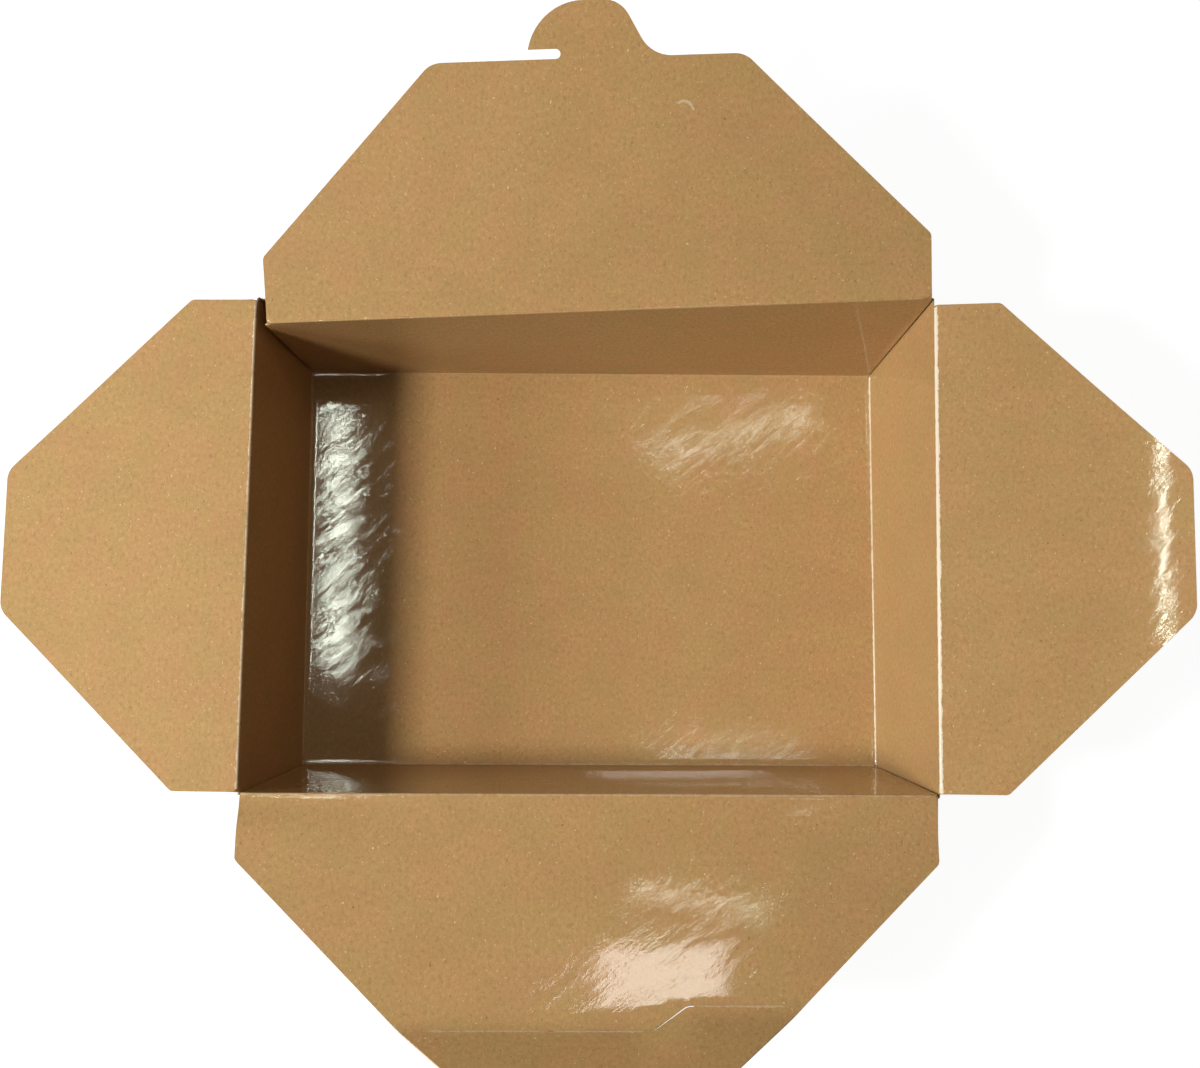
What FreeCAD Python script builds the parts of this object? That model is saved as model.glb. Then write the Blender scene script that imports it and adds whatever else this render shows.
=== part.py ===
import FreeCAD, Part

import math
import os

# Folded kraft-board takeaway box, standing open on its floor.
# One die-cut sheet makes a tray with four flared walls and a flap on each rim crease.
# Each corner keeps the web of board between its two walls. The web is creased down its
# middle and folded flat against the outside of the long wall, so the tray has no open seam.
# The back left corner has sprung: its web has opened and the back wall leans in there.
# The back flap ends in a hooked tab, and the front flap has the curved slit that takes it.
# Lengths are millimetres and angles are degrees. X runs along the box, Y from front to
# back, Z up. The origin is the middle of the floor's underside.

Vector = FreeCAD.Vector

# Board
board = 0.5             # thickness of the sheet
layer_gap = 0.2         # air between two folded layers of board
fold_bend = 0.3         # middle radius of a folded web's creases
corner_bend = 0.6       # middle radius where an end wall turns the corner

# Tray, measured to the middle of the board
floor_length = 197.0
floor_width = 137.2
rim_height = 64.0       # underside of the floor to the front and back creases
end_flare = 10.2        # how far each end wall leans out by the rim
side_flare = 9.5        # how far the front and back walls lean out by the rim
end_step = 0.8          # how far the end creases lie below the front and back ones
end_twist = 0.8         # how far an end crease's back end lies to the right of its middle
back_lean = 8.4         # how far the back wall's left end has sprung inwards at the rim
back_spread = 1.6       # how far its right end has gone outwards
corner_gap = 0.5        # crevice at a tight corner, at the rim
sprung_gap = 2.4        # crevice at the sprung corner, at the rim
foot_gap = 0.15         # crevice at every corner, at the floor
web_root = 1.2          # width of a folded web where it starts at the floor
top_bevel_angle = 52.0  # slope of the walls' top edges, so flaps can fold down outside
bead_radius = 0.35      # bead that the creasing rule leaves inside each floor crease
bead_inset = 0.75       # bead to the middle of the wall
bead_short = 2.0        # how far a bead stops before the corner

# Flaps
hinge_gap = 0.1         # top edge of a wall to the rounded root of its flap
side_clearance = 0.5    # closed end flap to the faces of the long walls it drops between
end_clearance = 1.3     # end of a long flap's root to the crease of the end wall
shoulder = 20.5         # straight stretch of a flap's side next to its crease
shoulder_radius = 2.5   # rounding where that stretch meets the slanted one
end_flap_length = 77.4
end_flap_tip = 44.0     # width of the outer edge of an end flap
end_flap_radius = 9.0
back_flap_length = 78.3
back_flap_tip = 98.0
back_flap_radius = 9.0
front_flap_length = 87.5
front_flap_tip = 78.5
front_flap_radius = 14.0

# Rest pose: rise above the horizontal, and the upward curl of the outer stretch
left_rise_angle = -5.0
right_rise_angle = 12.0
back_rise_angle = 16.5
front_rise_angle = 10.0
left_curl_angle = 3.0
right_curl_angle = 12.0
back_curl_angle = 6.0
front_curl_angle = 48.0
end_curl_start = 45.0   # crease to the start of the curl
back_curl_start = 45.0
front_curl_start = 56.0

# Hooked tab, measured from the middle of the back flap's outer edge
hook_height = 17.4
hook_back = -19.0       # where its round back is upright
hook_radius = 18.0
hook_shoulder = 10.5    # where its top and its slanted side would meet
hook_shoulder_radius = 9.0
hook_foot = 19.8        # where its slanted side would meet the flap's edge
hook_foot_radius = 10.7
throat_width = 3.0      # slot under the hook
throat_end = -10.0      # centre of the slot's round end

# Slit in the front flap, seen from above: X along the box and the distance from the crease
slit_width = 0.6
slit_low = 70.8         # crease to the long straight cut
slit_high = 63.2        # crease to the score on the other side
slit_start = -12.0
slit_turn = 18.5        # where the cut starts to swing back
slit_back = 29.0        # where it has reached the higher score
slit_stop = 31.0
slit_bend = 4.0
low_score_start = -49.0
low_score_stop = -15.0
high_score_stop = 58.0
score_radius = 0.22

# Worked out from the sizes above
half_board = board / 2
layer_pitch = board + layer_gap
wall_top = rim_height - half_board - hinge_gap
end_crease_height = rim_height - end_step
end_wall_top = end_crease_height - half_board - hinge_gap
side_slant = math.hypot(rim_height, side_flare)
end_slant = math.hypot(rim_height, end_flare)
side_edge_lean = math.atan(end_flare / side_slant)
end_edge_lean = math.atan(side_flare / end_slant)
web_half_angle = (math.pi / 2 - side_edge_lean - end_edge_lean) / 2
web_spread = end_flare + side_slant * math.tan(web_half_angle - side_edge_lean)
reach = 4 * rim_height  # longer than any piece that is trimmed

# The walls between their corners, anticlockwise from above
LONG_WALLS = (("front_left", "front_right"), ("back_right", "back_left"))
END_WALLS = (("front_right", "back_right"), ("back_left", "front_left"))


def meet(a, b, c, d):
    """Where the level line through a and b crosses the level line through c and d."""
    first = b - a
    second = d - c
    share = ((c.x - a.x) * second.y - (c.y - a.y) * second.x) / (
        first.x * second.y - first.y * second.x
    )
    return a + first * share


def side_of(direction):
    """The level direction to the right of a direction, which is outwards on a wall."""
    return Vector(direction.y, -direction.x, 0)


def rounded(corners, closed=True):
    """Straight runs and round bends through (point, radius) corners, with no loose ends."""
    count = len(corners)
    marks = []
    for i, (point, radius) in enumerate(corners):
        inner = closed or 0 < i < count - 1
        if not inner or radius == 0:
            marks.append((point, point, None))
            continue
        back = (corners[i - 1][0] - point).normalize()
        ahead = (corners[(i + 1) % count][0] - point).normalize()
        half = back.getAngle(ahead) / 2
        cut = radius / math.tan(half)
        middle = point + (back + ahead).normalize() * (radius / math.sin(half))
        marks.append((point + back * cut, point + ahead * cut, (middle, radius)))
    pieces = []
    for i in range(count if closed else count - 1):
        start, end = marks[i], marks[(i + 1) % count]
        if start[2]:
            pieces.append((start[0], start[1], start[2]))
        pieces.append((start[1], end[0], None))
    return pieces


def offset_edges(pieces, offset, flat_bends=False):
    """The edges of rounded(), all moved by offset to the left of the way they run.

    flat_bends makes each bend of two straight facets, for the tiny bends of folded board."""
    edges = []
    for start, end, bend in pieces:
        if bend is None:
            shift = side_of((end - start).normalize()) * -offset
            edges.append(Part.makeLine(start + shift, end + shift))
            continue
        middle, radius = bend
        turn = (start - middle).cross(end - middle).z
        spread = (radius - math.copysign(offset, offset * turn)) / radius
        across = ((start + end) / 2 - middle).normalize() * radius
        spots = [middle + arm * spread for arm in (start - middle, across, end - middle)]
        if flat_bends:
            edges += [Part.makeLine(a, b) for a, b in zip(spots, spots[1:])]
        else:
            edges.append(Part.Arc(*spots).toShape())
    return edges


def outline_face(corners):
    return Part.Face(Part.Wire(offset_edges(rounded(corners), 0)))


def rim_corners(share):
    """Where the middles of the walls cross, at a share of the way from floor to rim."""
    x = floor_length / 2 + end_flare * share
    y = floor_width / 2 + side_flare * share
    twist = end_twist * share
    z = rim_height * share
    straight = {
        "front_left": Vector(-x - twist, -y, z),
        "front_right": Vector(x - twist, -y, z),
        "back_right": Vector(x + twist, y, z),
        "back_left": Vector(-x + twist, y, z),
    }
    right = Vector(x, y + back_spread * share, z)
    left = Vector(-x, y - back_lean * share, z)
    leaning = dict(straight)
    leaning["back_right"] = meet(left, right, straight["front_right"], straight["back_right"])
    leaning["back_left"] = meet(left, right, straight["front_left"], straight["back_left"])
    return straight, leaning


def wall_section(share):
    """Middle line of the walls and folded webs at a share of the height, anticlockwise."""
    straight, leaning = rim_corners(share)
    web = web_root + web_spread * share
    corners = []
    for start_name, end_name in LONG_WALLS:
        start, end = leaning[start_name], leaning[end_name]
        along = (end - start).normalize()
        out = side_of(along)
        for name, point, inward in ((start_name, start, along), (end_name, end, -along)):
            sprung = name == "back_left"
            rim_gap = sprung_gap if sprung else corner_gap
            crevice = foot_gap + (rim_gap - foot_gap) * share
            edge = point + inward * (crevice + board)
            crease = edge + inward * web
            far = straight[name] + Vector(0, math.copysign(2 * layer_pitch, point.y), 0)
            side = Vector(far.x - point.x, far.y - point.y, 0)
            if not sprung:
                line = out * 2 * layer_pitch
                other = "front" if name.startswith("back") else "back"
                partner = straight[other + name[name.index("_"):]]
                far = meet(start + line, end + line, partner, straight[name])
            turns = [
                (far, corner_bend),
                (crease + out * 2 * layer_pitch, fold_bend),
                (crease + out * layer_pitch, fold_bend),
                (edge + out * layer_pitch, fold_bend),
                (edge, fold_bend),
            ]
            corners += turns if name == start_name else turns[::-1]
    return rounded(corners)


def prism(points, bottom, top):
    """Upright solid over a level outline."""
    flat = [Vector(p.x, p.y, bottom) for p in points]
    face = Part.Face(Part.makePolygon(flat + flat[:1]))
    return face.extrude(Vector(0, 0, top - bottom))


def beyond(start, end, inset):
    """Outline of all that lies outside the line from start to end, moved in by inset."""
    along = (end - start).normalize()
    out = side_of(along)
    base = [start - out * inset - along * reach, end - out * inset + along * reach]
    return base + [p + out * reach for p in base[::-1]]


def make_tray():
    sections = [wall_section(0), wall_section(1)]
    skins = []
    for side in (-half_board, half_board):
        wires = [Part.Wire(offset_edges(section, side, flat_bends=True)) for section in sections]
        skins.append(Part.makeLoft(wires, True, True))
    tray = skins[0].cut(skins[1])
    floor = Part.makeBox(floor_length, floor_width, board)
    floor.translate(Vector(-floor_length / 2, -floor_width / 2, 0))
    tray = tray.fuse(floor)

    straight, rim = rim_corners(1)
    whole = [Vector(-reach, -reach, 0), Vector(reach, -reach, 0)]
    whole += [Vector(reach, reach, 0), Vector(-reach, reach, 0)]
    trims = [prism(whole, wall_top, reach)]
    walls = [(straight[a], straight[b], end_wall_top) for a, b in END_WALLS]
    walls += [(rim[a], rim[b], wall_top) for a, b in LONG_WALLS]
    for start, end, top in walls:
        along = (end - start).normalize()
        bevel = prism(beyond(start, end, half_board), top, top + reach)
        base = start - side_of(along) * half_board
        bevel.rotate(Vector(base.x, base.y, top), along, top_bevel_angle)
        trims.append(bevel)
        if top == end_wall_top:
            edge = beyond(start, end, half_board + corner_gap / 2)
            trims.append(prism(edge, end_wall_top, reach))
    tray = tray.cut(trims)

    long_bead = floor_length - 2 * bead_short
    cross_bead = floor_width - 2 * bead_short
    beads = []
    for sign in (-1, 1):
        y = sign * (floor_width / 2 - bead_inset)
        x = sign * (floor_length / 2 - bead_inset)
        start = Vector(-long_bead / 2, y, board)
        beads.append(Part.makeCylinder(bead_radius, long_bead, start, Vector(1, 0, 0)))
        start = Vector(x, -cross_bead / 2, board)
        beads.append(Part.makeCylinder(bead_radius, cross_bead, start, Vector(0, 1, 0)))
    return tray.fuse(beads).removeSplitter()


class Sheet:
    """A flap's sheet: flat from its rounded root, then curled up at an even radius."""

    def __init__(self, length, curl_start, curl):
        self.start = curl_start
        self.turn = math.radians(curl)
        self.radius = (length - curl_start) / self.turn
        self.length = length

    def spot(self, distance, height=0.0):
        """Place of a point at a distance along the sheet and a height over its middle."""
        turn = max(distance - self.start, 0) / self.radius
        flat = min(distance, self.start)
        y = flat + (self.radius - height) * math.sin(turn)
        return Vector(0, y, self.radius - (self.radius - height) * math.cos(turn))

    def flat(self, x, distance):
        """The same place seen from above."""
        return Vector(x, self.spot(distance).y, 0)

    def solid(self, half_width, over=0.0):
        """The sheet as wide as asked, and as long as its length and a bit over."""
        end = self.length + over
        middle = (self.start + end) / 2
        low, high = -half_board, half_board
        edges = [
            Part.makeLine(Vector(0, 0, low), self.spot(self.start, low)),
            Part.Arc(self.spot(self.start, low), self.spot(middle, low),
                     self.spot(end, low)).toShape(),
            Part.makeLine(self.spot(end, low), self.spot(end, high)),
            Part.Arc(self.spot(end, high), self.spot(middle, high),
                     self.spot(self.start, high)).toShape(),
            Part.makeLine(self.spot(self.start, high), Vector(0, 0, high)),
            Part.Arc(Vector(0, 0, high), Vector(0, low, 0), Vector(0, 0, low)).toShape(),
        ]
        face = Part.Face(Part.Wire(edges))
        face.translate(Vector(-half_width, 0, 0))
        return face.extrude(Vector(2 * half_width, 0, 0))

    def groove(self, distance, start, stop):
        """Score pressed into the upper face, along the box."""
        length = abs(stop - start)
        spot = self.spot(distance, half_board)
        base = Vector(min(start, stop), spot.y, spot.z)
        return Part.makeCylinder(score_radius, length, base, Vector(1, 0, 0))


def upright(face):
    """Cutter that stands on a flat outline and is taller than any curl."""
    low = face.copy()
    low.translate(Vector(0, 0, -rim_height))
    return low.extrude(Vector(0, 0, 2 * rim_height))


def flap_outline(sheet, left, right, tip, tip_radius):
    """Outline from above: straight shoulders, slanted sides and rounded outer corners."""
    half_tip = tip / 2
    return outline_face([
        (Vector(left, -board, 0), 0),
        (Vector(right, -board, 0), 0),
        (sheet.flat(right, shoulder), shoulder_radius),
        (sheet.flat(half_tip, sheet.length), tip_radius),
        (sheet.flat(-half_tip, sheet.length), tip_radius),
        (sheet.flat(left, shoulder), shoulder_radius),
    ])


def hook_outline(sheet):
    """The tab beyond the back flap's outer edge, with the slot under its hook."""
    root = sheet.length - board
    top = sheet.length + hook_height
    side = 2 * hook_foot
    head = outline_face([
        (sheet.flat(hook_back, root), 0),
        (sheet.flat(side, root), 0),
        (sheet.flat(side, sheet.length), 0),
        (sheet.flat(hook_foot, sheet.length), hook_foot_radius),
        (sheet.flat(hook_shoulder, top), hook_shoulder_radius),
        (sheet.flat(hook_back, top), hook_radius),
    ])
    low = sheet.flat(throat_end, sheet.length)
    round_end = low + Vector(0, throat_width / 2, 0)
    disc = Part.Face(Part.Wire(Part.makeCircle(throat_width / 2, round_end)))
    length = throat_end - 2 * hook_back
    slot = Part.makePlane(length, throat_width, low - Vector(length, 0, 0))
    return head, [upright(disc), upright(slot)]


def slit_cutter(sheet):
    """The curved cut that takes the hook. The flap's own X runs against the box's."""
    path = rounded([
        (sheet.flat(-slit_start, slit_low), 0),
        (sheet.flat(-slit_turn, slit_low), slit_bend),
        (sheet.flat(-slit_back, slit_high), slit_bend),
        (sheet.flat(-slit_stop, slit_high), 0),
    ], closed=False)
    one, other = offset_edges(path, slit_width / 2), offset_edges(path, -slit_width / 2)
    ends = [
        Part.makeLine(one[0].Vertexes[0].Point, other[0].Vertexes[0].Point),
        Part.makeLine(one[-1].Vertexes[-1].Point, other[-1].Vertexes[-1].Point),
    ]
    return upright(Part.Face(Part.Wire(Part.__sortEdges__(one + other + ends))))


def place_flap(flap, start, end, rise, height):
    """Swings a flap up by its rise and sets its root on the crease from start to end."""
    middle = (start + end) / 2
    along = math.degrees(math.atan2(end.y - start.y, end.x - start.x))
    flap.rotate(Vector(0, 0, 0), Vector(1, 0, 0), rise)
    flap.rotate(Vector(0, 0, 0), Vector(0, 0, 1), along)
    flap.translate(Vector(middle.x, middle.y, height))
    return flap


def make_end_flap(rise, curl, start, end, clear_left, clear_right):
    """An end flap between two points of its crease, less what its ends must clear."""
    sheet = Sheet(end_flap_length, end_curl_start, curl)
    half = (end - start).Length / 2
    outline = flap_outline(
        sheet, -half + clear_left, half - clear_right, end_flap_tip, end_flap_radius
    )
    flap = sheet.solid(half).common(upright(outline))
    return place_flap(flap, start, end, rise, end_crease_height)


def end_crease(straight, start, end):
    """The middle of an end wall at the height of its crease, a little below the rim."""
    foot = {"right": floor_length / 2, "left": -floor_length / 2}
    share = end_crease_height / rim_height
    points = []
    for name in (start, end):
        x_foot = foot[name.split("_")[1]]
        y_foot = math.copysign(floor_width / 2, straight[name].y)
        x = x_foot + (straight[name].x - x_foot) * share
        y = y_foot + (straight[name].y - y_foot) * share
        points.append(Vector(x, y, 0))
    return points


def make_flaps():
    straight, rim = rim_corners(1)
    wall_face = half_board + side_clearance
    flaps = {}
    start, end = end_crease(straight, "back_right", "front_right")
    flaps["right_flap"] = make_end_flap(
        right_rise_angle, right_curl_angle, start, end, wall_face, wall_face
    )
    start, end = end_crease(straight, "front_left", "back_left")
    pushed = wall_face + (straight["back_left"].y - rim["back_left"].y)
    flaps["left_flap"] = make_end_flap(
        left_rise_angle, left_curl_angle, start, end, wall_face, pushed
    )

    sheet = Sheet(back_flap_length, back_curl_start, back_curl_angle)
    start, end = rim["back_left"], rim["back_right"]
    half = (end - start).Length / 2
    inset = half_board + end_clearance
    outline = flap_outline(
        sheet, -half + inset + sprung_gap, half - inset, back_flap_tip, back_flap_radius
    )
    head, slot = hook_outline(sheet)
    shape = upright(outline).fuse(upright(head)).cut(slot)
    flap = sheet.solid(half, 2 * hook_height).common(shape)
    flaps["back_flap"] = place_flap(flap, start, end, back_rise_angle, rim_height)

    sheet = Sheet(front_flap_length, front_curl_start, front_curl_angle)
    start, end = rim["front_right"], rim["front_left"]
    half = (end - start).Length / 2
    outline = flap_outline(sheet, -half + inset, half - inset, front_flap_tip, front_flap_radius)
    flap = sheet.solid(half).common(upright(outline))
    flap = flap.cut([
        slit_cutter(sheet),
        sheet.groove(slit_low, -low_score_start, -low_score_stop),
        sheet.groove(slit_high, -slit_back, -high_score_stop),
    ])
    flaps["front_flap"] = place_flap(flap, start, end, front_rise_angle, rim_height)
    return flaps


parts = {"tray": make_tray()}
parts.update(make_flaps())
os.makedirs("parts", exist_ok=True)
for name, shape in parts.items():
    if not shape.isValid() or len(shape.Solids) != 1:
        raise ValueError(name + " is not one valid solid")
    shape.exportStep("parts/" + name + ".step")
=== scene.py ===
import bmesh
import bpy
import math
import numpy as np
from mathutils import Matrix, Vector
from mathutils.geometry import delaunay_2d_cdt


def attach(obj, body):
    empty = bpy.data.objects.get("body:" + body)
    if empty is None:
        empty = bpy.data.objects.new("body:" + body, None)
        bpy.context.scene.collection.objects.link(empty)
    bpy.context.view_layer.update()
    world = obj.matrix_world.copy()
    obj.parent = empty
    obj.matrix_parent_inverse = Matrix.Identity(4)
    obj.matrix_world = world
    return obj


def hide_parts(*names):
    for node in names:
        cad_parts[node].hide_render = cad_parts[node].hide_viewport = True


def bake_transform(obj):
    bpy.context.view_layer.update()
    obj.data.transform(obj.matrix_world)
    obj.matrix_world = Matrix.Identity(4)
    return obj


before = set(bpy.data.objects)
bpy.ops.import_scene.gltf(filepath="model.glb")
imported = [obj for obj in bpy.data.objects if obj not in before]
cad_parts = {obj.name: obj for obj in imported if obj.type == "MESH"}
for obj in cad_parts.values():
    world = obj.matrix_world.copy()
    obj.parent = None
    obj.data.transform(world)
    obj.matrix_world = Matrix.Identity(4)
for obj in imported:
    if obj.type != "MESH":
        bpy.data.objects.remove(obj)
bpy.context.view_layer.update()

# Sizes in millimetres and angles in degrees
MM = 0.001
BOARD, PITCH = 0.5, 0.7
FLOOR_L, FLOOR_W, RIM = 197.0, 137.2, 64.0
END_FLARE, SIDE_FLARE = 10.2, 9.5
END_STEP, TWIST = 0.8, 0.8
LEAN, SPREAD = 8.4, 1.6
CORNER_GAP, SPRUNG_GAP, FOOT_GAP = 0.5, 2.4, 0.15
WEB_ROOT, WEB_SPREAD = 1.2, 46.5
FOLD_BEND, CORNER_BEND = 0.3, 0.6
FLOOR_BEND = 0.9        # middle radius of the floor's creases
CREASE_BEND = 0.45      # middle radius of a flap's crease
SEAM = 1.6              # where the tray's mesh hands over to a flap's, below its crease
SHOULDER, SHOULDER_RADIUS = 20.5, 2.5
ROOT_CLEARANCE = 1.3    # end of a long flap's root to the crease of the end wall
SPRUNG_CLEARANCE = 3.9  # the same at the sprung corner
END_CLEARANCE = 0.3     # end of an end flap's root to the corner
END_LENGTH, END_TIP, END_RADIUS = 77.4, 44.0, 7.0
BACK_LENGTH, BACK_TIP, BACK_RADIUS = 78.3, 98.0, 8.0
FRONT_LENGTH, FRONT_TIP, FRONT_RADIUS = 87.5, 78.5, 13.0
CURL_START = 45.0       # crease to the start of an even curl
RISE = {"right": 12.0, "left": -5.0, "back": 16.5, "front": 10.0}
CURL = {"right": 9.5, "left": 3.0, "back": 6.0}
MID = BOARD / 2
SEAM_SHARE = 0.975      # share of the height above which a wall doesn't bulge
WEB_DROP = 4.2          # rim to the top of a folded web

# How worn the film is along each crease, from 0 to 1
WALL_WEAR = {"front": 0.35, "back": 0.2, "right": 0.55, "left": 0.25}
RIM_WEAR = {"front": 0.3, "back": 0.15, "right": 1.0, "left": 0.5}


def unit(v):
    """The vector at length 1."""
    return v / np.linalg.norm(v)


def meet(a, b, c, d):
    """Where the line through a and b meets the line through c and d."""
    f, s = b - a, d - c
    t = ((c[0] - a[0]) * s[1] - (c[1] - a[1]) * s[0]) / (f[0] * s[1] - f[1] * s[0])
    return a + f * t


def rim_corners(k):
    """Corners of the walls' middle lines at a share of the height: designed and leaning."""
    x, y, w = FLOOR_L / 2 + END_FLARE * k, FLOOR_W / 2 + SIDE_FLARE * k, TWIST * k
    s = {
        "front_left": np.array([-x - w, -y]), "front_right": np.array([x - w, -y]),
        "back_right": np.array([x + w, y]), "back_left": np.array([-x + w, y]),
    }
    right, left = np.array([x, y + SPREAD * k]), np.array([-x, y - LEAN * k])
    lean = dict(s)
    lean["back_right"] = meet(left, right, s["front_right"], s["back_right"])
    lean["back_left"] = meet(left, right, s["front_left"], s["back_left"])
    return s, lean


def arc_points(centre, start, end, steps):
    """Points from start to end on the shorter arc about a centre."""
    a, b = start - centre, end - centre
    turn = math.atan2(a[0] * b[1] - a[1] * b[0], a @ b)
    angles = turn * np.linspace(0, 1, steps + 1)
    c, s = np.cos(angles), np.sin(angles)
    return centre + np.stack([c * a[0] - s * a[1], s * a[0] + c * a[1]], axis=1)


def bend(before, corner, after, radius, steps):
    """Points on the arc that rounds a corner of a path."""
    back, ahead = unit(before - corner), unit(after - corner)
    half = math.acos(float(np.clip(back @ ahead, -1, 1))) / 2
    centre = corner + unit(back + ahead) * (radius / math.sin(half))
    cut = radius / math.tan(half)
    return arc_points(centre, corner + back * cut, corner + ahead * cut, steps)


def wall_path(k, bend_steps=4, web_steps=8, long_steps=80, end_steps=60):
    """Points round the tray at a share of its height, and the span of each wall's run."""
    straight, lean = rim_corners(k)
    web = WEB_ROOT + WEB_SPREAD * k
    corners = []
    for a, b in (("front_left", "front_right"), ("back_right", "back_left")):
        along = unit(lean[b] - lean[a])
        out = np.array([along[1], -along[0]])
        for name, inward in ((a, along), (b, -along)):
            sprung = name == "back_left"
            gap = FOOT_GAP + ((SPRUNG_GAP if sprung else CORNER_GAP) - FOOT_GAP) * k
            edge = lean[name] + inward * (gap + BOARD)
            fold = edge + inward * web
            if sprung:
                far = straight[name] + np.array([0, 2 * PITCH])
            else:
                other = ("front" if name[:4] == "back" else "back") + name[name.index("_"):]
                far = meet(lean[a] + out * 2 * PITCH, lean[b] + out * 2 * PITCH,
                           straight[other], straight[name])
            turns = [(far, CORNER_BEND), (fold + out * 2 * PITCH, FOLD_BEND),
                     (fold + out * PITCH, FOLD_BEND), (edge + out * PITCH, FOLD_BEND),
                     (edge, FOLD_BEND)]
            corners += turns if name == a else turns[::-1]
    count = len(corners)
    bends = [
        bend(corners[i - 1][0], corner, corners[(i + 1) % count][0], radius, bend_steps)
        for i, (corner, radius) in enumerate(corners)
    ]
    points, runs = [], []
    for i in range(count):
        points += list(bends[i])
        nxt = (i + 1) % count
        a, b = bends[i][-1], bends[nxt][0]
        wall = {4: "front", 9: "right", 14: "back", 19: "left"}.get(i)
        steps = {None: web_steps, "front": long_steps, "back": long_steps}.get(wall, end_steps)
        start = len(points) - 1
        points += [a + (b - a) * j / steps for j in range(1, steps)]
        if wall:
            runs.append((wall, start, steps))
    return np.array(points), runs


# Materials
def node_tools(name):
    """An empty material and a function that adds a node with its inputs and settings."""
    mat = bpy.data.materials.new(name)
    mat.use_nodes = True
    tree = mat.node_tree
    tree.nodes.clear()

    def node(kind, inputs=None, **settings):
        made = tree.nodes.new(kind)
        for key, value in settings.items():
            setattr(made, key, value)
        for key, value in (inputs or {}).items():
            if isinstance(value, bpy.types.NodeSocket):
                tree.links.new(value, made.inputs[key])
            else:
                made.inputs[key].default_value = value
        return made

    return mat, node


def ramp(node, value, low, high, out_low=0.0, out_high=1.0):
    """Maps a value smoothly from one range to another."""
    made = node("ShaderNodeMapRange", {0: value, 1: low, 2: high, 3: out_low, 4: out_high},
                interpolation_type="SMOOTHSTEP")
    return made.outputs[0]


def math_node(node, operation, a, b):
    return node("ShaderNodeMath", {0: a, 1: b}, operation=operation).outputs[0]


def mix(node, factor, a, b):
    """Blends from colour a to colour b."""
    return node("ShaderNodeMix", {0: factor, 6: a, 7: b}, data_type="RGBA").outputs[2]


DARKER, LIGHTER = 0.72, 1.24
OLIVE_SHIFT, ROSY_SHIFT = (0.97, 1.02, 0.98), (1.03, 0.98, 1.02)
DARK_FLECK, PALE_FLECK = (0.15, 0.07, 0.02, 1), (0.8, 0.6, 0.36, 1)
WORN_FILM = (0.84, 0.7, 0.52, 1)
CRACK_SOFTNESS = 0.25           # fade at the edge of a worn line, in millimetres
CRACK_WOBBLE = 1.6              # how raggedly a worn line runs, in millimetres
FIBRE_RELIEF = 0.00012          # metres, like the reliefs below
SWELL_RELIEF, STROKE_RELIEF = 0.000013, 0.000014
STROKE_ANGLE = 40
STROKE_SIZE = (1 / 360, 1 / 1100, 1)
FILM_ROUGHNESS, FILM_IOR = 0.055, 1.45


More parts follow.
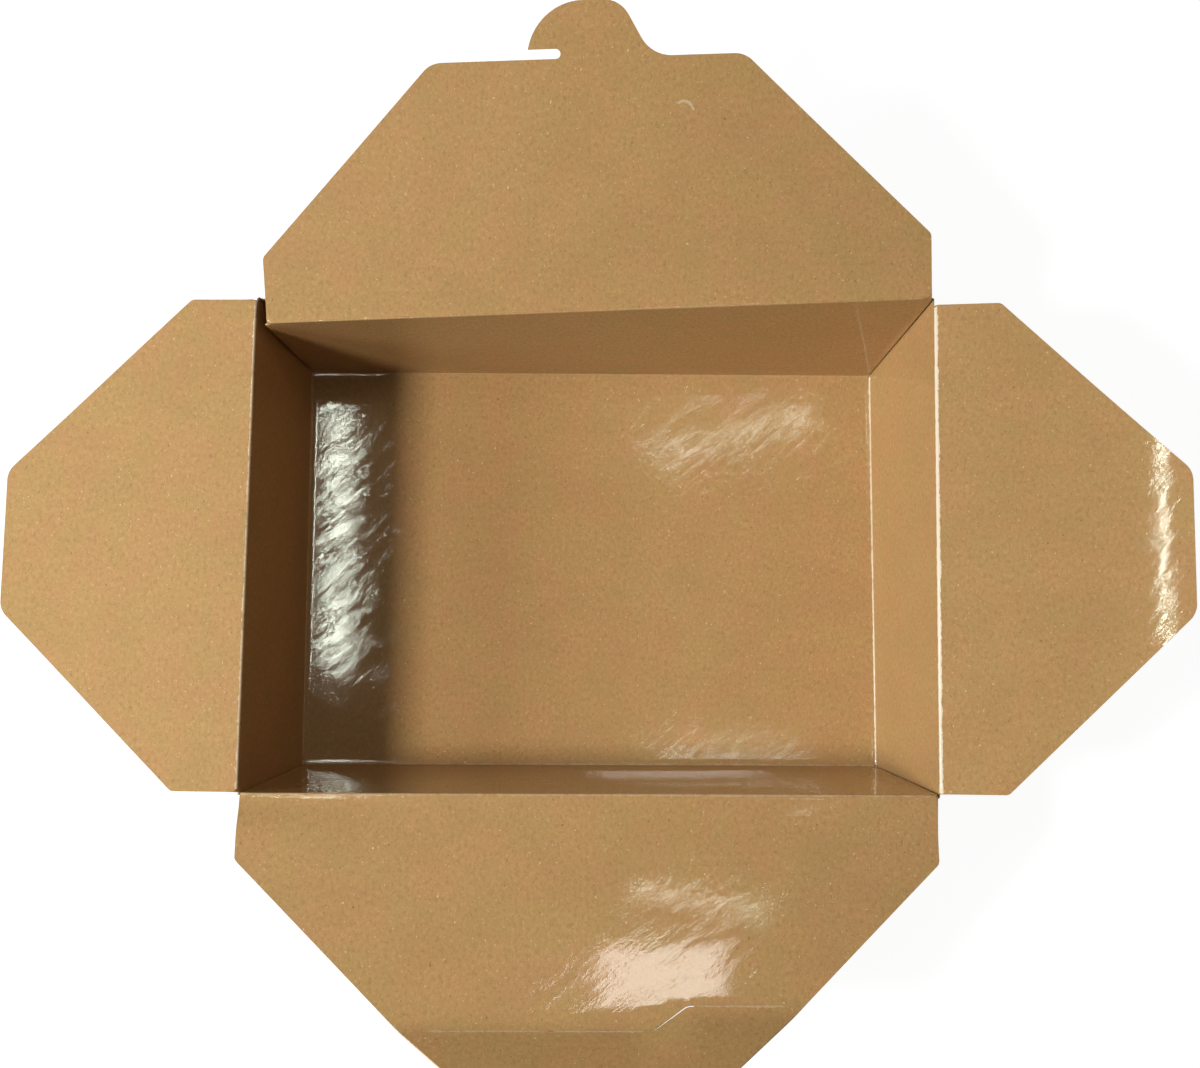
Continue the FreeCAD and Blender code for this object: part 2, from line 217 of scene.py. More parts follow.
def board_material(name, tint, coated):
    """Kraft board: short fibres along the grain, soft clouds, dark and pale flecks.

    The coated face has a clear film with broad swells and fine slanting strokes."""
    mat, node = node_tools(name)
    uv = node("ShaderNodeUVMap", uv_map="blank").outputs[0]

    def stretched(scale_x, scale_y, detail, distortion=0.0, shift=0.0):
        spot = node("ShaderNodeMapping", {0: uv, 1: (shift, shift, 0), 3: (scale_x, scale_y, 1)})
        return node("ShaderNodeTexNoise", {
            "Vector": spot.outputs[0], "Scale": 1.0, "Detail": detail,
            "Roughness": 0.6, "Distortion": distortion,
        }).outputs[0]

    fibres = stretched(900, 640, 3.0, 0.5)
    short = stretched(2300, 1500, 2.0, 0.3, 5.5)
    clouds = stretched(45, 60, 3.0, 0.3, 3.1)
    hues = stretched(70, 55, 2.0, 0.4, 11.9)
    flecks = stretched(1100, 760, 2.0, 0.3, 7.7)
    pale_flecks = stretched(1300, 900, 2.0, 0.3, 15.2)
    dark = tuple(c * DARKER for c in tint[:3]) + (1,)
    light = tuple(min(1, c * LIGHTER) for c in tint[:3]) + (1,)
    olive = tuple(c * k for c, k in zip(tint, OLIVE_SHIFT)) + (1,)
    rosy = tuple(c * k for c, k in zip(tint, ROSY_SHIFT)) + (1,)
    colour = mix(node, ramp(node, hues, 0.38, 0.62), olive, rosy)
    colour = mix(node, ramp(node, fibres, 0.5, 0.7, 0.0, 0.55), colour, light)
    colour = mix(node, ramp(node, fibres, 0.5, 0.3, 0.0, 0.55), colour, dark)
    colour = mix(node, ramp(node, short, 0.5, 0.75, 0.0, 0.35), colour, light)
    colour = mix(node, ramp(node, short, 0.5, 0.25, 0.0, 0.35), colour, dark)
    colour = mix(node, ramp(node, clouds, 0.35, 0.7, 0.0, 0.18), colour, dark)
    colour = mix(node, ramp(node, flecks, 0.66, 0.74, 0.0, 0.6), colour, DARK_FLECK)
    colour = mix(node, ramp(node, pale_flecks, 0.66, 0.74, 0.0, 0.6), colour, PALE_FLECK)

    # Cracked film along the creases
    crease = node("ShaderNodeAttribute", attribute_name="crease").outputs[2]
    wear = node("ShaderNodeAttribute", attribute_name="wear").outputs[2]
    cracks = stretched(260, 260, 5.0, 1.2, 1.7)
    width = math_node(node, "MULTIPLY", wear, 0.5)
    ragged = math_node(node, "SUBTRACT", cracks, 0.5)
    ragged = math_node(node, "ADD", crease, math_node(node, "MULTIPLY", ragged, CRACK_WOBBLE))
    faded = math_node(node, "ADD", width, CRACK_SOFTNESS)
    line = node("ShaderNodeMapRange", {0: ragged, 1: width, 2: faded, 3: 1.0, 4: 0.0}).outputs[0]
    line = math_node(node, "MULTIPLY", line, ramp(node, wear, 0.05, 0.9, 0.0, 0.85))
    colour = mix(node, line, colour, WORN_FILM)

    bump = node("ShaderNodeBump", {
        "Strength": 0.35 if coated else 0.6, "Distance": FIBRE_RELIEF, "Height": fibres})
    values = {
        "Base Color": colour, "Normal": bump.outputs[0],
        "Roughness": 0.7 if coated else 0.88, "Specular IOR Level": 0.15,
    }
    if coated:
        turned = node("ShaderNodeMapping", {
            0: uv, 2: (0, 0, math.radians(STROKE_ANGLE)), 3: STROKE_SIZE}, vector_type="TEXTURE")
        strokes = node("ShaderNodeTexNoise", {
            "Vector": turned.outputs[0], "Scale": 1.0, "Detail": 2.0, "Roughness": 0.6,
            "Distortion": 0.8,
        }).outputs[0]
        swells = stretched(55, 75, 2.0, 0.4, 9.3)
        sparse = node("ShaderNodeTexNoise", {
            "Vector": turned.outputs[0], "Scale": 0.23, "Detail": 1.0}).outputs[0]
        strokes = math_node(node, "MULTIPLY", strokes, ramp(node, sparse, 0.35, 0.7, 0.25, 1.6))
        near_crease = ramp(node, crease, 0.4, 1.6, 5.0, 0.0)
        strokes = math_node(
            node, "ADD", strokes, math_node(node, "MULTIPLY", cracks, near_crease))
        film = node("ShaderNodeBump", {
            "Strength": 1.0, "Distance": SWELL_RELIEF, "Height": swells})
        fine = node("ShaderNodeBump", {
            "Strength": 1.0, "Distance": STROKE_RELIEF, "Height": strokes,
            "Normal": film.outputs[0]})
        values["Coat Normal"] = fine.outputs[0]
        values["Coat Weight"] = 1.0
        values["Coat Roughness"] = FILM_ROUGHNESS
        values["Coat IOR"] = FILM_IOR
    shader = node("ShaderNodeBsdfPrincipled", values)
    node("ShaderNodeOutputMaterial", {0: shader.outputs[0]})
    return mat


COATED = board_material("kraft_film_face", (0.43, 0.24, 0.088, 1), True)
KRAFT = board_material("kraft_bare_face", (0.40, 0.225, 0.1, 1), False)
CUT = board_material("kraft_cut_edge", (0.55, 0.36, 0.19, 1), False)


# Mesh helpers
def make_mesh(name, points, faces, uv, crease, wear):
    """Object from points in millimetres, with the blank's coordinates and crease data."""
    mesh = bpy.data.meshes.new(name)
    mesh.from_pydata([tuple(p) for p in np.asarray(points) * MM], [], faces)
    corner = np.zeros(len(mesh.loops), dtype=np.int32)
    mesh.loops.foreach_get("vertex_index", corner)
    layer = mesh.uv_layers.new(name="blank")
    layer.data.foreach_set("uv", (np.asarray(uv)[corner] * MM).ravel())
    for label, values in (("crease", crease), ("wear", wear)):
        data = mesh.attributes.new(label, "FLOAT", "POINT")
        data.data.foreach_set("value", np.asarray(values, dtype=np.float32))
    mesh.polygons.foreach_set("use_smooth", np.ones(len(mesh.polygons), dtype=bool))
    obj = bpy.data.objects.new(name, mesh)
    bpy.context.collection.objects.link(obj)
    for slot in (COATED, KRAFT, CUT):
        mesh.materials.append(slot)
    return obj


def thicken(obj):
    """Gives the sheet its thickness: coated face, bare kraft back and cut edges."""
    solid = obj.modifiers.new("board", "SOLIDIFY")
    solid.thickness = BOARD * MM
    solid.offset = 0
    solid.material_offset = 1
    solid.material_offset_rim = 2
    depsgraph = bpy.context.evaluated_depsgraph_get()
    done = bpy.data.meshes.new_from_object(obj.evaluated_get(depsgraph))
    obj.modifiers.clear()
    obj.data = done
    board = bmesh.new()
    board.from_mesh(done)
    for edge in board.edges:
        edge.smooth = len({face.material_index for face in edge.link_faces}) == 1
    board.to_mesh(done)
    board.free()


def smooth(x):
    """Eases from 0 to 1 as x goes from 0 to 1."""
    x = np.clip(x, 0, 1)
    return x * x * (3 - 2 * x)


# Tray
SLOPES = {
    "front": math.atan(SIDE_FLARE / RIM), "back": math.atan(SIDE_FLARE / RIM),
    "right": math.atan(END_FLARE / RIM), "left": math.atan(END_FLARE / RIM),
}
OUT = {"front": np.array([0, -1]), "back": np.array([0, 1]),
       "right": np.array([1, 0]), "left": np.array([-1, 0])}
HALF = {"front": FLOOR_W / 2, "back": FLOOR_W / 2, "right": FLOOR_L / 2, "left": FLOOR_L / 2}
BULGE = {"front": 0.9, "back": -1.1, "right": 0.5, "left": -0.6}
RIPPLE = 0.12
WALL_ROWS, CREASE_ROWS = 44, 6
FLOOR_GRID = 3.0
FLOOR_SAG = 0.1


def seam_height(wall):
    """Height at which the tray's mesh hands over to a flap's."""
    axis = RIM - (END_STEP if wall in ("left", "right") else 0)
    return axis - SEAM * math.cos(SLOPES[wall])


def wall_bow(wall, u, h):
    """How far a wall bulges outwards, in millimetres, at a share of its length and height."""
    h = np.clip(h / SEAM_SHARE, 0, 1)
    swell = np.sin(np.pi * u) * np.sin(np.pi * h)
    ripple = RIPPLE * np.sin(2 * np.pi * (u * 1.7 + 0.2)) * np.sin(np.pi * h)
    return (BULGE[wall] * swell + ripple) * smooth(h * 6)


def wall_point(wall, u, z, p0, p1):
    """A wall's middle surface at height z, between its run's points at floor and rim."""
    k = z / RIM
    xy = p0 + (p1 - p0) * k
    return np.array([*(xy + OUT[wall] * wall_bow(wall, u, k)), z])


def tray_board():
    """Floor, four walls and four folded webs as one sheet, up to the flaps' creases."""
    low, runs = wall_path(0)
    high, _ = wall_path(1)
    count, rows = len(low), WALL_ROWS
    share = np.linspace(0, 1, rows + 1)
    share = share - 0.06 * np.sin(2 * np.pi * share)
    wall_of = [None] * count
    place = np.zeros(count)
    for wall, start, steps in runs:
        for j in range(steps + 1):
            i = (start + j) % count
            wall_of[i] = wall
            place[i] = j / steps
    points, uv, crease, wear, faces = [], [], [], [], []
    grid = np.zeros((rows + 1, count), dtype=int)

    def add(p, st, c, w):
        points.append(p)
        uv.append(st)
        crease.append(c)
        wear.append(w)
        return len(points) - 1

    def blank(wall, p, up):
        out = OUT[wall]
        across = np.array([abs(out[1]), abs(out[0])])
        return across * p[:2] + out * (HALF[wall] + up)

    for i in range(count):
        wall = wall_of[i]
        bottom, top = MID, RIM - WEB_DROP
        if wall:
            turn = math.pi / 2 - SLOPES[wall]
            bottom = MID + FLOOR_BEND * math.tan(turn / 2) * math.cos(SLOPES[wall])
            top = seam_height(wall)
        near = min((abs(i - s - e) % count, w) for w, s, n in runs for e in (0, n))
        if not wall and near[0] <= 3:
            top = seam_height(near[1]) - 0.3 * near[0]
        for r in range(rows + 1):
            z = bottom + (top - bottom) * share[r]
            if wall:
                p = wall_point(wall, place[i], z, low[i], high[i])
                up = z / math.cos(SLOPES[wall])
                st = blank(wall, p, up)
                c, w = (z, WALL_WEAR[wall]) if r < rows / 2 else (top - z + SEAM, RIM_WEAR[wall])
            else:
                k = z / RIM
                p = np.array([*(low[i] + (high[i] - low[i]) * k), z])
                st, c, w = p[:2] + np.array([0, z]), 9.0, 0.0
            grid[r, i] = add(p, st, c, w)
    for r in range(rows):
        for i in range(count):
            j = (i + 1) % count
            faces.append((grid[r, i], grid[r, j], grid[r + 1, j], grid[r + 1, i])[::-1])

    # Rounded creases from the walls' feet to the floor
    creases = {}
    for wall, start, steps in runs:
        slope = SLOPES[wall]
        turn = math.pi / 2 - slope
        cut = FLOOR_BEND * math.tan(turn / 2)
        foot = HALF[wall] + MID * math.tan(slope)
        centre = np.array([foot - cut, MID + FLOOR_BEND])
        lines = []
        for b in range(CREASE_ROWS + 1):
            angle = turn * (1 - b / CREASE_ROWS)
            o = centre[0] + FLOOR_BEND * math.sin(angle)
            z = centre[1] - FLOOR_BEND * math.cos(angle)
            line = []
            for j in range(steps + 1):
                i = (start + j) % count
                if b == 0:
                    line.append(grid[0, i])
                    continue
                across = np.array([abs(OUT[wall][1]), abs(OUT[wall][0])])
                p = np.array([*(low[i] * across + OUT[wall] * o), z])
                away = FLOOR_BEND * turn * (b / CREASE_ROWS - 0.5)
                line.append(add(p, blank(wall, p, -away), abs(away), WALL_WEAR[wall]))
            lines.append(line)
        for upper, lower in zip(lines, lines[1:]):
            for j in range(steps):
                faces.append((lower[j], lower[j + 1], upper[j + 1], upper[j])[::-1])
        creases[wall] = lines

    # Floor, with a fan at each corner between the ends of two creases
    x_in = abs(points[creases["right"][-1][1]][0])
    y_in = abs(points[creases["front"][-1][1]][1])
    border = []
    after = {"front": "right", "right": "back", "back": "left", "left": "front"}
    for wall, corner in (("front", (x_in, -y_in)), ("right", (x_in, y_in)),
                         ("back", (-x_in, y_in)), ("left", (-x_in, -y_in))):
        hub = add(np.array([*corner, MID]), np.array(corner), FLOOR_BEND, 0.0)
        rim = [line[-1] for line in creases[wall]][::-1]
        rim += [line[0] for line in creases[after[wall]]]
        faces += [(hub, a, b) for a, b in zip(rim, rim[1:])]
        border += [points[i][:2] for i in creases[wall][-1]] + [np.array(corner)]
    xs, ys = np.arange(-96, 96.1, FLOOR_GRID), np.arange(-66, 66.1, FLOOR_GRID)
    inner = [np.array([x, y]) for x in xs for y in ys
             if abs(x) < x_in - 1 and abs(y) < y_in - 1]
    flat = [Vector(p) for p in border + inner]
    ring = [(i, (i + 1) % len(border)) for i in range(len(border))]
    verts, _, tris, *_ = delaunay_2d_cdt(flat, ring, [], 1, 1e-5)
    base = len(points)
    for v in verts:
        x, y = v
        away = min(x_in - abs(x), y_in - abs(y))
        sag = FLOOR_SAG * math.sin(math.pi * (x / FLOOR_L + 0.5))
        sag *= math.sin(math.pi * (y / FLOOR_W + 0.5))
        near = min(("right" if x > 0 else "left", x_in - abs(x)),
                   ("back" if y > 0 else "front", y_in - abs(y)), key=lambda q: q[1])
        add(np.array([x, y, MID + sag * smooth(away / 20)]), np.array([x, y]),
            away + FLOOR_BEND * 0.7, WALL_WEAR[near[0]])
    faces += [tuple(base + i for i in tri) for tri in tris]
    obj = make_mesh("tray_board", points, faces, uv, crease, wear)
    weld(obj)
    return obj


def weld(obj):
    """Joins the points that the walls, creases and floor share."""
    bm = bmesh.new()
    bm.from_mesh(obj.data)
    bmesh.ops.remove_doubles(bm, verts=bm.verts, dist=2e-6)
    bm.to_mesh(obj.data)
    bm.free()


# Flaps
FLAP_GRID = 2.4
CREASE_LINES = [-1.2, -0.8, -0.5, -0.3, -0.15, 0, 0.15, 0.3, 0.5, 0.8, 1.2, 1.8, 2.6, 3.6]


def rounded(corners):
    """Outline points of a polygon with (x, y, radius) corners."""
    result = []
    count = len(corners)
    for i in range(count):
        p = np.array(corners[i][:2], dtype=float)
        before = np.array(corners[i - 1][:2], dtype=float)
        after = np.array(corners[(i + 1) % count][:2], dtype=float)
        if corners[i][2]:
            result += list(bend(before, p, after, corners[i][2], 10))
        else:
            result.append(p)
    full = []
    for i, p in enumerate(result):
        q = result[(i + 1) % len(result)]
        n = max(1, int(np.linalg.norm(q - p) / 2.5))
        full += [p + (q - p) * j / n for j in range(n)]
    return full


def inside(point, polygon):
    """Whether a point lies inside a polygon."""
    x, y = point
    poly = np.asarray(polygon)
    nxt = np.roll(poly, -1, axis=0)
    crosses = (poly[:, 1] > y) != (nxt[:, 1] > y)
    with np.errstate(divide="ignore", invalid="ignore"):
        at = (nxt[:, 0] - poly[:, 0]) * (y - poly[:, 1]) / (nxt[:, 1] - poly[:, 1]) + poly[:, 0]
    return bool(np.count_nonzero(crosses & (x < at)) % 2)


def flap_board(side, start, end, height, curl, outline, slope, warp, holes=(), lines=()):
    """A flap on the crease from start to end. Outline x runs along the crease, y away from it.

    curl gives, for an x, where the flap's bend starts, its length and its angle, and slope the
    lean of the wall below, for an x from -1 to 1. warp lifts the face a little. Lines are marks
    pressed or scratched into the face, each with its wear."""
    start, end = np.array(start), np.array(end)
    middle, along = (start + end) / 2, unit(end - start)
    out = np.array([-along[1], along[0]])
    half = np.linalg.norm(end - start) / 2
    rise = math.radians(RISE[side])
    verts2 = [Vector(p) for p in outline]
    edges = [(i, (i + 1) % len(outline)) for i in range(len(outline))]
    for hole in holes:
        base = len(verts2)
        verts2 += [Vector(p) for p in hole]
        edges += [(base + i, base + (i + 1) % len(hole)) for i in range(len(hole))]
    for line, _ in lines:
        base = len(verts2)
        verts2 += [Vector(p) for p in line]
        edges += [(base + i, base + i + 1) for i in range(len(line) - 1)]
    lo, hi = np.min(outline, axis=0), np.max(outline, axis=0)
    xs = np.arange(math.ceil(lo[0]) + 0.5, hi[0] - 0.3, FLAP_GRID)
    for y in CREASE_LINES + list(np.arange(5.0, hi[1] - 0.2, FLAP_GRID)):
        for x in xs:
            if y < 4 or inside((x, y), outline):
                if not any(inside((x, y), h) for h in holes):
                    verts2.append(Vector((x, y)))
    verts, _, tris, *_ = delaunay_2d_cdt(verts2, edges, [], 1, 1e-5)
    keep = []
    for tri in tris:
        c = sum((verts[i] for i in tri), Vector((0, 0))) / 3
        if not any(inside(c, h) for h in holes):
            keep.append(tuple(tri))
    points = []
    for x, t in ((v.x, v.y) for v in verts):
        tilt = slope(x / half)
        turn = math.pi / 2 - tilt - rise
        tangent = CREASE_BEND * math.tan(turn / 2)
        reach = CREASE_BEND * turn / 2
        up = np.array([math.sin(tilt), math.cos(tilt)])
        away = np.array([math.cos(rise), math.sin(rise)])
        normal = np.array([-math.sin(rise), math.cos(rise)])
        if t <= -reach:
            p = -up * (tangent - reach - t)
        elif t < reach:
            a = tilt + turn * (t + reach) / (2 * reach)
            first = np.array([math.cos(tilt), -math.sin(tilt)])
            centre = -up * tangent + first * CREASE_BEND
            p = centre + CREASE_BEND * np.array([-math.cos(a), math.sin(a)])
        else:
            d = tangent + t - reach
            bend_start, bend_length, bend_angle = curl(x)
            radius = bend_length / bend_angle
            bent = min(max(d - bend_start, 0), bend_length) / radius
            past = max(d - bend_start - bend_length, 0)
            y = min(d, bend_start) + radius * math.sin(bent) + past * math.cos(bend_angle)
            h = radius * (1 - math.cos(bent)) + past * math.sin(bend_angle) + warp(x, d)
            p = away * y + normal * h
        xy = middle + along * x + out * p[0]
        points.append(np.array([xy[0], xy[1], height + p[1]]))
    flat = np.array([(v.x, v.y) for v in verts])
    uv = middle * np.abs(along) + along * flat[:, :1] + out * (HALF_BLANK[side] + flat[:, 1:])
    crease = np.abs(flat[:, 1])
    strength = np.full(len(flat), RIM_WEAR[side])
    for line, line_wear in lines:
        distance = np.linalg.norm(flat[:, None] - np.array(line)[None], axis=2).min(axis=1)
        strength = np.where(distance < crease, line_wear, strength)
        crease = np.minimum(crease, distance)
    return make_mesh(side + "_board", points, keep, uv, crease, strength)


# The flaps' blanks start at the walls' developed height
LONG_SLANT = math.hypot(RIM, SIDE_FLARE)
END_SLANT = math.hypot(RIM, END_FLARE)
HALF_BLANK = {
    "front": FLOOR_W / 2 + LONG_SLANT, "back": FLOOR_W / 2 + LONG_SLANT,
    "left": FLOOR_L / 2 + END_SLANT, "right": FLOOR_L / 2 + END_SLANT,
}
FLAP_FOOT = -SEAM - 0.05


def outline_of(left, right, length, tip, tip_radius):
    """A flap's outline with its shoulders, slanted sides and rounded tip."""
    return rounded([
        (left, FLAP_FOOT, 0), (right, FLAP_FOOT, 0), (right, SHOULDER, SHOULDER_RADIUS),
        (tip / 2, length, tip_radius), (-tip / 2, length, tip_radius),
        (left, SHOULDER, SHOULDER_RADIUS),
    ])


def even_curl(side, length):
    """The same curl all along a flap, from its start to the tip."""
    return lambda x: (CURL_START, length - CURL_START, math.radians(CURL[side]))


def end_crease(a, b):
    """Ends of an end wall's crease, which lies a step below the rim."""
    k = (RIM - END_STEP) / RIM
    foot = {"right": FLOOR_L / 2, "left": -FLOOR_L / 2}
    points = []
    for name in (a, b):
        low = np.array([foot[name.split("_")[1]], math.copysign(FLOOR_W / 2, straight[name][1])])
        points.append(low + (straight[name] - low) * k)
    return points


straight, lean = rim_corners(1)
tray = tray_board()
thicken(tray)
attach(tray, "tray")
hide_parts("tray")


def end_flap(side, first, last, warp):
    """Left or right flap on the crease between two corners."""
    start, end = end_crease(first, last)
    half = np.linalg.norm(end - start) / 2 - END_CLEARANCE
    return flap_board(
        side, start, end, RIM - END_STEP, even_curl(side, END_LENGTH),
        outline_of(-half, half, END_LENGTH, END_TIP, END_RADIUS),
        lambda u: SLOPES[side], warp)


flaps = {}
flaps["right"] = end_flap(
    "right", "back_right", "front_right", lambda x, d: -0.00012 * x * x * smooth(d / 40))
flaps["left"] = end_flap(
    "left", "front_left", "back_left", lambda x, d: 0.00015 * x * x * smooth(d / 50))

# Back flap with its hook, measured from the middle of the flap's outer edge
HOOK_HEIGHT, HOOK_RADIUS, HOOK_CENTRE = 17.4, 18.0, -1.0
HOOK_SHOULDER, HOOK_SHOULDER_RADIUS = 10.5, 9.0
HOOK_FOOT, HOOK_FOOT_RADIUS = 19.8, 10.7
SLOT_WIDTH, SLOT_END, SLOT_MOUTH = 3.0, -10.0, -22.0
HOOK_DROP = 0.6         # flap's outer edge to the centre of the hook's round back

# Marks in the film: a pale fibre and a faint wrinkle
FIBRE = [(28.0, 63.6), (28.8, 64.3), (29.8, 64.4), (30.9, 63.9), (31.9, 62.9), (32.6, 61.6)]
WRINKLE = [(-80.0 + 2.0 * i, 31.0 + 1.5 * i - 0.05 * i * i) for i in range(12)]


def hook_outline(side):
    """A flap's outline that also runs round the hook and its slot."""
    edge, slot = BACK_LENGTH, SLOT_WIDTH / 2
    shoulder = np.array([HOOK_SHOULDER, edge + HOOK_HEIGHT])
    base = np.array([HOOK_FOOT, edge])
    slot_end = [(SLOT_END + slot * math.sin(a), edge + slot - slot * math.cos(a))
                for a in np.linspace(0, math.pi, 9)]
    angles = np.linspace(math.asin((SLOT_WIDTH + HOOK_DROP) / HOOK_RADIUS), math.pi / 2, 12)
    head = [(HOOK_CENTRE - HOOK_RADIUS * math.cos(a), edge - HOOK_DROP + HOOK_RADIUS * math.sin(a))
            for a in angles]
    crown = bend(np.array([HOOK_CENTRE, edge + HOOK_HEIGHT]), shoulder, base,
                 HOOK_SHOULDER_RADIUS, 8)
    foot = bend(shoulder, base, np.array([40.0, edge]), HOOK_FOOT_RADIUS, 8)
    on_edge = edge - 1e-6
    split = max(range(len(side)), key=lambda i: (side[i][1] > on_edge, side[i][0]))
    right = [tuple(p) for p in side[:split + 1]]
    left = [tuple(p) for p in side[split + 1:] if not (p[1] > on_edge and p[0] > SLOT_MOUTH)]
    foot, crown = [tuple(p) for p in foot[::-1]], [tuple(p) for p in crown[::-1]]
    return right + foot + crown + head[::-1] + slot_end[::-1] + left


def back_slope(u):
    """Lean of the back wall, which has sprung inwards at its left end."""
    return math.atan((SIDE_FLARE - LEAN + (LEAN + SPREAD) * (u + 1) / 2) / RIM)


start, end = lean["back_left"], lean["back_right"]
half = np.linalg.norm(end - start) / 2
flaps["back"] = flap_board(
    "back", start, end, RIM, even_curl("back", BACK_LENGTH),
    hook_outline(outline_of(-half + SPRUNG_CLEARANCE, half - ROOT_CLEARANCE,
                            BACK_LENGTH, BACK_TIP, BACK_RADIUS)),
    back_slope, lambda x, d: 1.2 * math.cos(x / 60) * smooth(d / 40) - 0.6,
    lines=[(FIBRE, 0.4), (WRINKLE, 0.12)])

# Front flap with its slit; its own x runs against the box's
SLIT_LOW, SLIT_HIGH = 70.8, 63.2    # crease to the straight cut, and to the far score
SLIT_START, SLIT_TURN, SLIT_BACK, SLIT_STOP = 12.0, -18.5, -29.0, -31.0
SLIT_BEND, SLIT_WIDTH = 4.0, 0.35
SCORE_WEAR = 0.3
STRIP_START, STRIP_BEND, STRIP_ANGLE = 66.5, 6.0, 35.0


def ribbon(points, width):
    """Closed outline of a narrow cut along a line."""
    p = np.array(points)
    d = np.gradient(p, axis=0)
    n = np.stack([-d[:, 1], d[:, 0]], axis=1) / np.linalg.norm(d, axis=1)[:, None]
    return [tuple(q) for q in p + n * width / 2] + [tuple(q) for q in (p - n * width / 2)[::-1]]


def front_curl(x):
    """The strip past the slit stands up along the scores, nearer the crease past its step."""
    step = smooth((-x - 12) / 22)
    return STRIP_START - 4.5 * step, STRIP_BEND, math.radians(STRIP_ANGLE - 5 * step)


def front_dish(x, d):
    """The flap dips between its crease and the slit."""
    lift = 0.00034 * x * x if x > 0 else -0.0002 * x * x
    inner = min(d, STRIP_START)
    dip = -0.0873 * inner + 0.00161 * inner * inner
    return dip + 0.127 * (d - inner) + lift * smooth(d / 14)


def slit_line():
    """The slit's middle line, with points at most 2 mm or so apart."""
    corners = [np.array(p) for p in (
        (SLIT_START, SLIT_LOW), (SLIT_TURN, SLIT_LOW), (SLIT_BACK, SLIT_HIGH), (-35.0, SLIT_HIGH))]
    line = [(SLIT_START, SLIT_LOW)]
    for before, corner, after in zip(corners, corners[1:], corners[2:]):
        line += [tuple(p) for p in bend(before, corner, after, SLIT_BEND, 5)]
    line.append((SLIT_STOP, SLIT_HIGH))
    dense = []
    for a, b in zip(line, line[1:]):
        steps = max(1, int(math.dist(a, b) / 2))
        dense += [(a[0] + (b[0] - a[0]) * j / steps, a[1] + (b[1] - a[1]) * j / steps)
                  for j in range(steps)]
    return dense + [line[-1]]


low_score = [(x, SLIT_LOW) for x in np.arange(49, 14.9, -2)]
high_score = [(x, SLIT_HIGH) for x in np.arange(-32, -58.1, -2)]
start, end = lean["front_right"], lean["front_left"]
half = np.linalg.norm(end - start) / 2 - ROOT_CLEARANCE
flaps["front"] = flap_board(
    "front", start, end, RIM, front_curl,
    outline_of(-half, half, FRONT_LENGTH, FRONT_TIP, FRONT_RADIUS),
    lambda u: SLOPES["front"], front_dish, holes=[ribbon(slit_line(), SLIT_WIDTH)],
    lines=[(low_score, SCORE_WEAR), (high_score, SCORE_WEAR)])

# Each flap gets its thickness and keeps its place in the world, and the model's own flap is hidden
for wall, obj in flaps.items():
    thicken(obj)
    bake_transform(obj)
    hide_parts(wall + "_flap")


# Stage
def area_light(name, place, size, power, colour=(1, 1, 1), aim=None, turn=0.0):
    """A rectangular lamp that looks at a point, or straight down."""
    data = bpy.data.lights.new(name, "AREA")
    data.shape = "RECTANGLE"
    data.size, data.size_y = size
    data.energy = power
    data.color = colour
    obj = bpy.data.objects.new(name, data)
    bpy.context.collection.objects.link(obj)
    obj.location = place
    if aim:
        obj.rotation_euler = (Vector(aim) - Vector(place)).to_track_quat("-Z", "Y").to_euler()
    else:
        obj.rotation_euler = (0, 0, math.radians(turn))


# A window and a low lamp light the box. The others hang where the camera sees them mirrored
# in the film: three thin ones mainly on the tray's floor, a broad one on the front flap.
PALE_GREEN, PALE_BLUE, WARM = (0.92, 1.0, 0.84), (0.7, 0.86, 1.0), (1.0, 0.97, 0.9)
CEILING = 1.3
area_light("key_window", (-1.1, -0.32, 1.42), (0.28, 0.28), 29, aim=(0, 0, 0))
area_light("low_left", (-0.75, -0.05, 0.45), (0.3, 0.2), 4.5, PALE_BLUE, aim=(0.05, 0, 0.03))
area_light("tube_left", (-0.255, 0.19, CEILING), (0.011, 0.3), 0.6, PALE_GREEN)
area_light("tube_back", (0.165, 0.297, CEILING), (0.19, 0.009), 0.11, PALE_GREEN, turn=13.4)
area_light("tube_front", (0.166, -0.05, CEILING), (0.16, 0.007), 0.06, PALE_GREEN)
area_light("lamp_back", (0.112, 0.425, CEILING), (0.17, 0.11), 0.7, WARM)

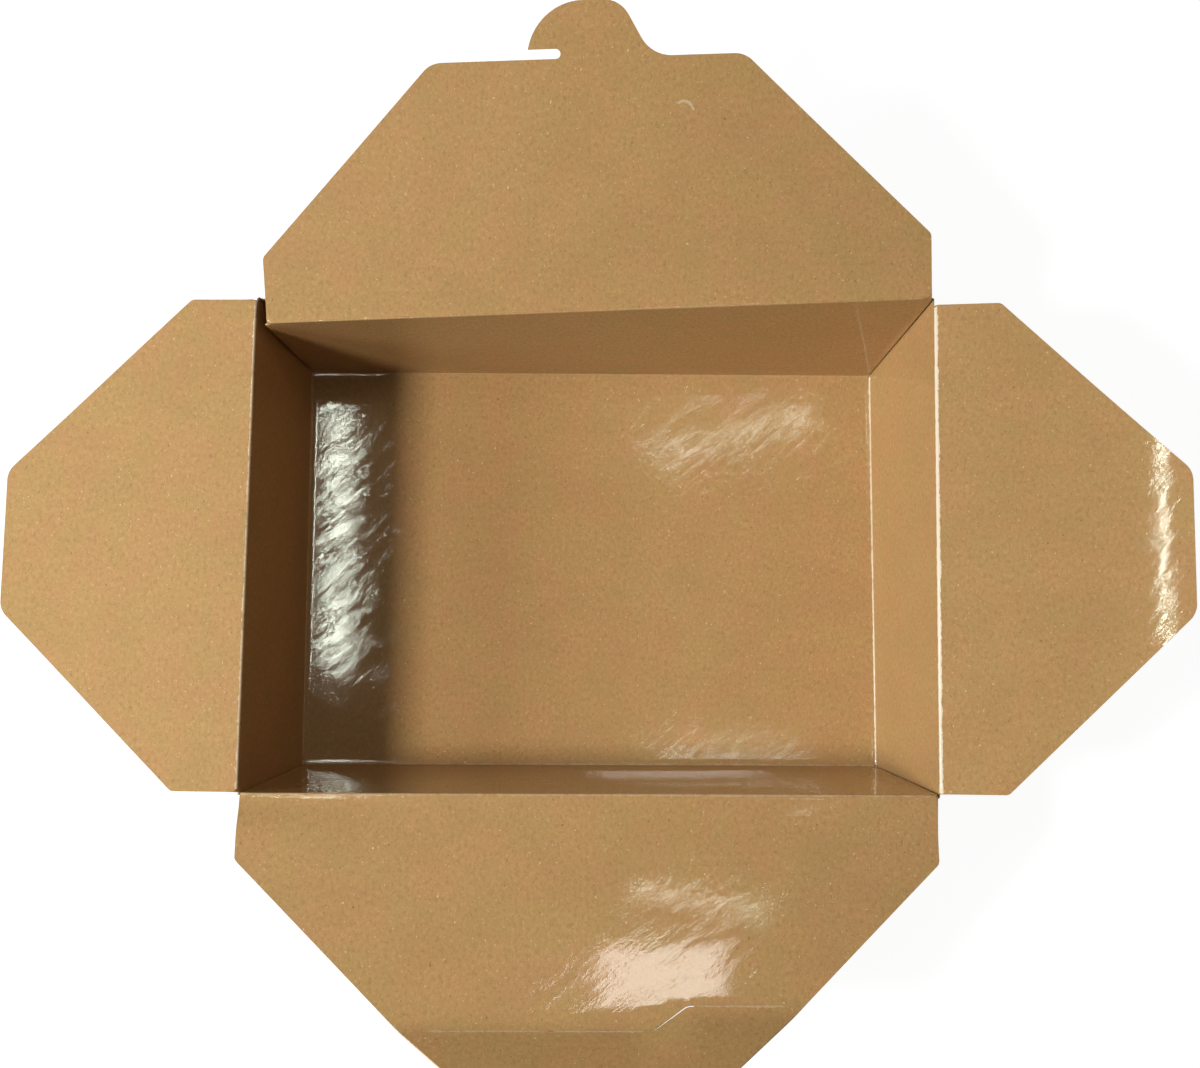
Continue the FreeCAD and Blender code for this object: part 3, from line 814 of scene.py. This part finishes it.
# The room's dim light, with a white sky where the camera looks straight at it
ROOM_COLOUR, ROOM_STRENGTH, WHITE = (1, 0.96, 0.86, 1), 0.11, (1, 1, 1, 1)
world = bpy.data.worlds.new("studio")
bpy.context.scene.world = world
world.use_nodes = True
tree = world.node_tree
backdrop = tree.nodes["Background"]
backdrop.inputs[0].default_value = ROOM_COLOUR
backdrop.inputs[1].default_value = ROOM_STRENGTH
white_sky = tree.nodes.new("ShaderNodeBackground")
white_sky.inputs[0].default_value = WHITE
ray = tree.nodes.new("ShaderNodeLightPath")
sky = tree.nodes.new("ShaderNodeMixShader")
tree.links.new(ray.outputs["Is Camera Ray"], sky.inputs[0])
tree.links.new(backdrop.outputs[0], sky.inputs[1])
tree.links.new(white_sky.outputs[0], sky.inputs[2])
tree.links.new(sky.outputs[0], tree.nodes["World Output"].inputs[0])

# Seen directly the floor glows nearly white and keeps the box's shadow as a pale grey
FLOOR_GLOW, FLOOR_SEEN, FLOOR_LIT = 0.95, 0.13, 0.7
mat, node = node_tools("pale_floor")
path = node("ShaderNodeLightPath")
seen = math_node(node, "MAXIMUM", path.outputs["Is Camera Ray"], math_node(
    node, "MAXIMUM", path.outputs["Is Glossy Ray"], path.outputs["Is Transmission Ray"]))
glow = node("ShaderNodeEmission", {0: (FLOOR_GLOW,) * 3 + (1,), 1: seen})
matte = node("ShaderNodeBsdfDiffuse", {
    0: mix(node, seen, (FLOOR_LIT,) * 3 + (1,), (FLOOR_SEEN,) * 3 + (1,))})
both = node("ShaderNodeAddShader", {0: matte.outputs[0], 1: glow.outputs[0]})
node("ShaderNodeOutputMaterial", {0: both.outputs[0]})
bpy.ops.mesh.primitive_plane_add(size=12, location=(0, 0, -0.0004))
floor = bpy.context.object
floor.name = "floor"
floor.data.materials.append(mat)

camera = bpy.data.objects.new("camera", bpy.data.cameras.new("camera"))
bpy.context.collection.objects.link(camera)
camera.location = (-0.00804, -0.07455, 0.63509)
camera.rotation_euler = [math.radians(a) for a in (7.71537902, -1.0352553, 0.19271597)]
camera.data.sensor_width = 36
camera.data.lens = 55.122
camera.data.clip_start = 0.01
camera.data.dof.use_dof = False
bpy.context.scene.camera = camera
bpy.context.scene.view_settings.view_transform = "Standard"
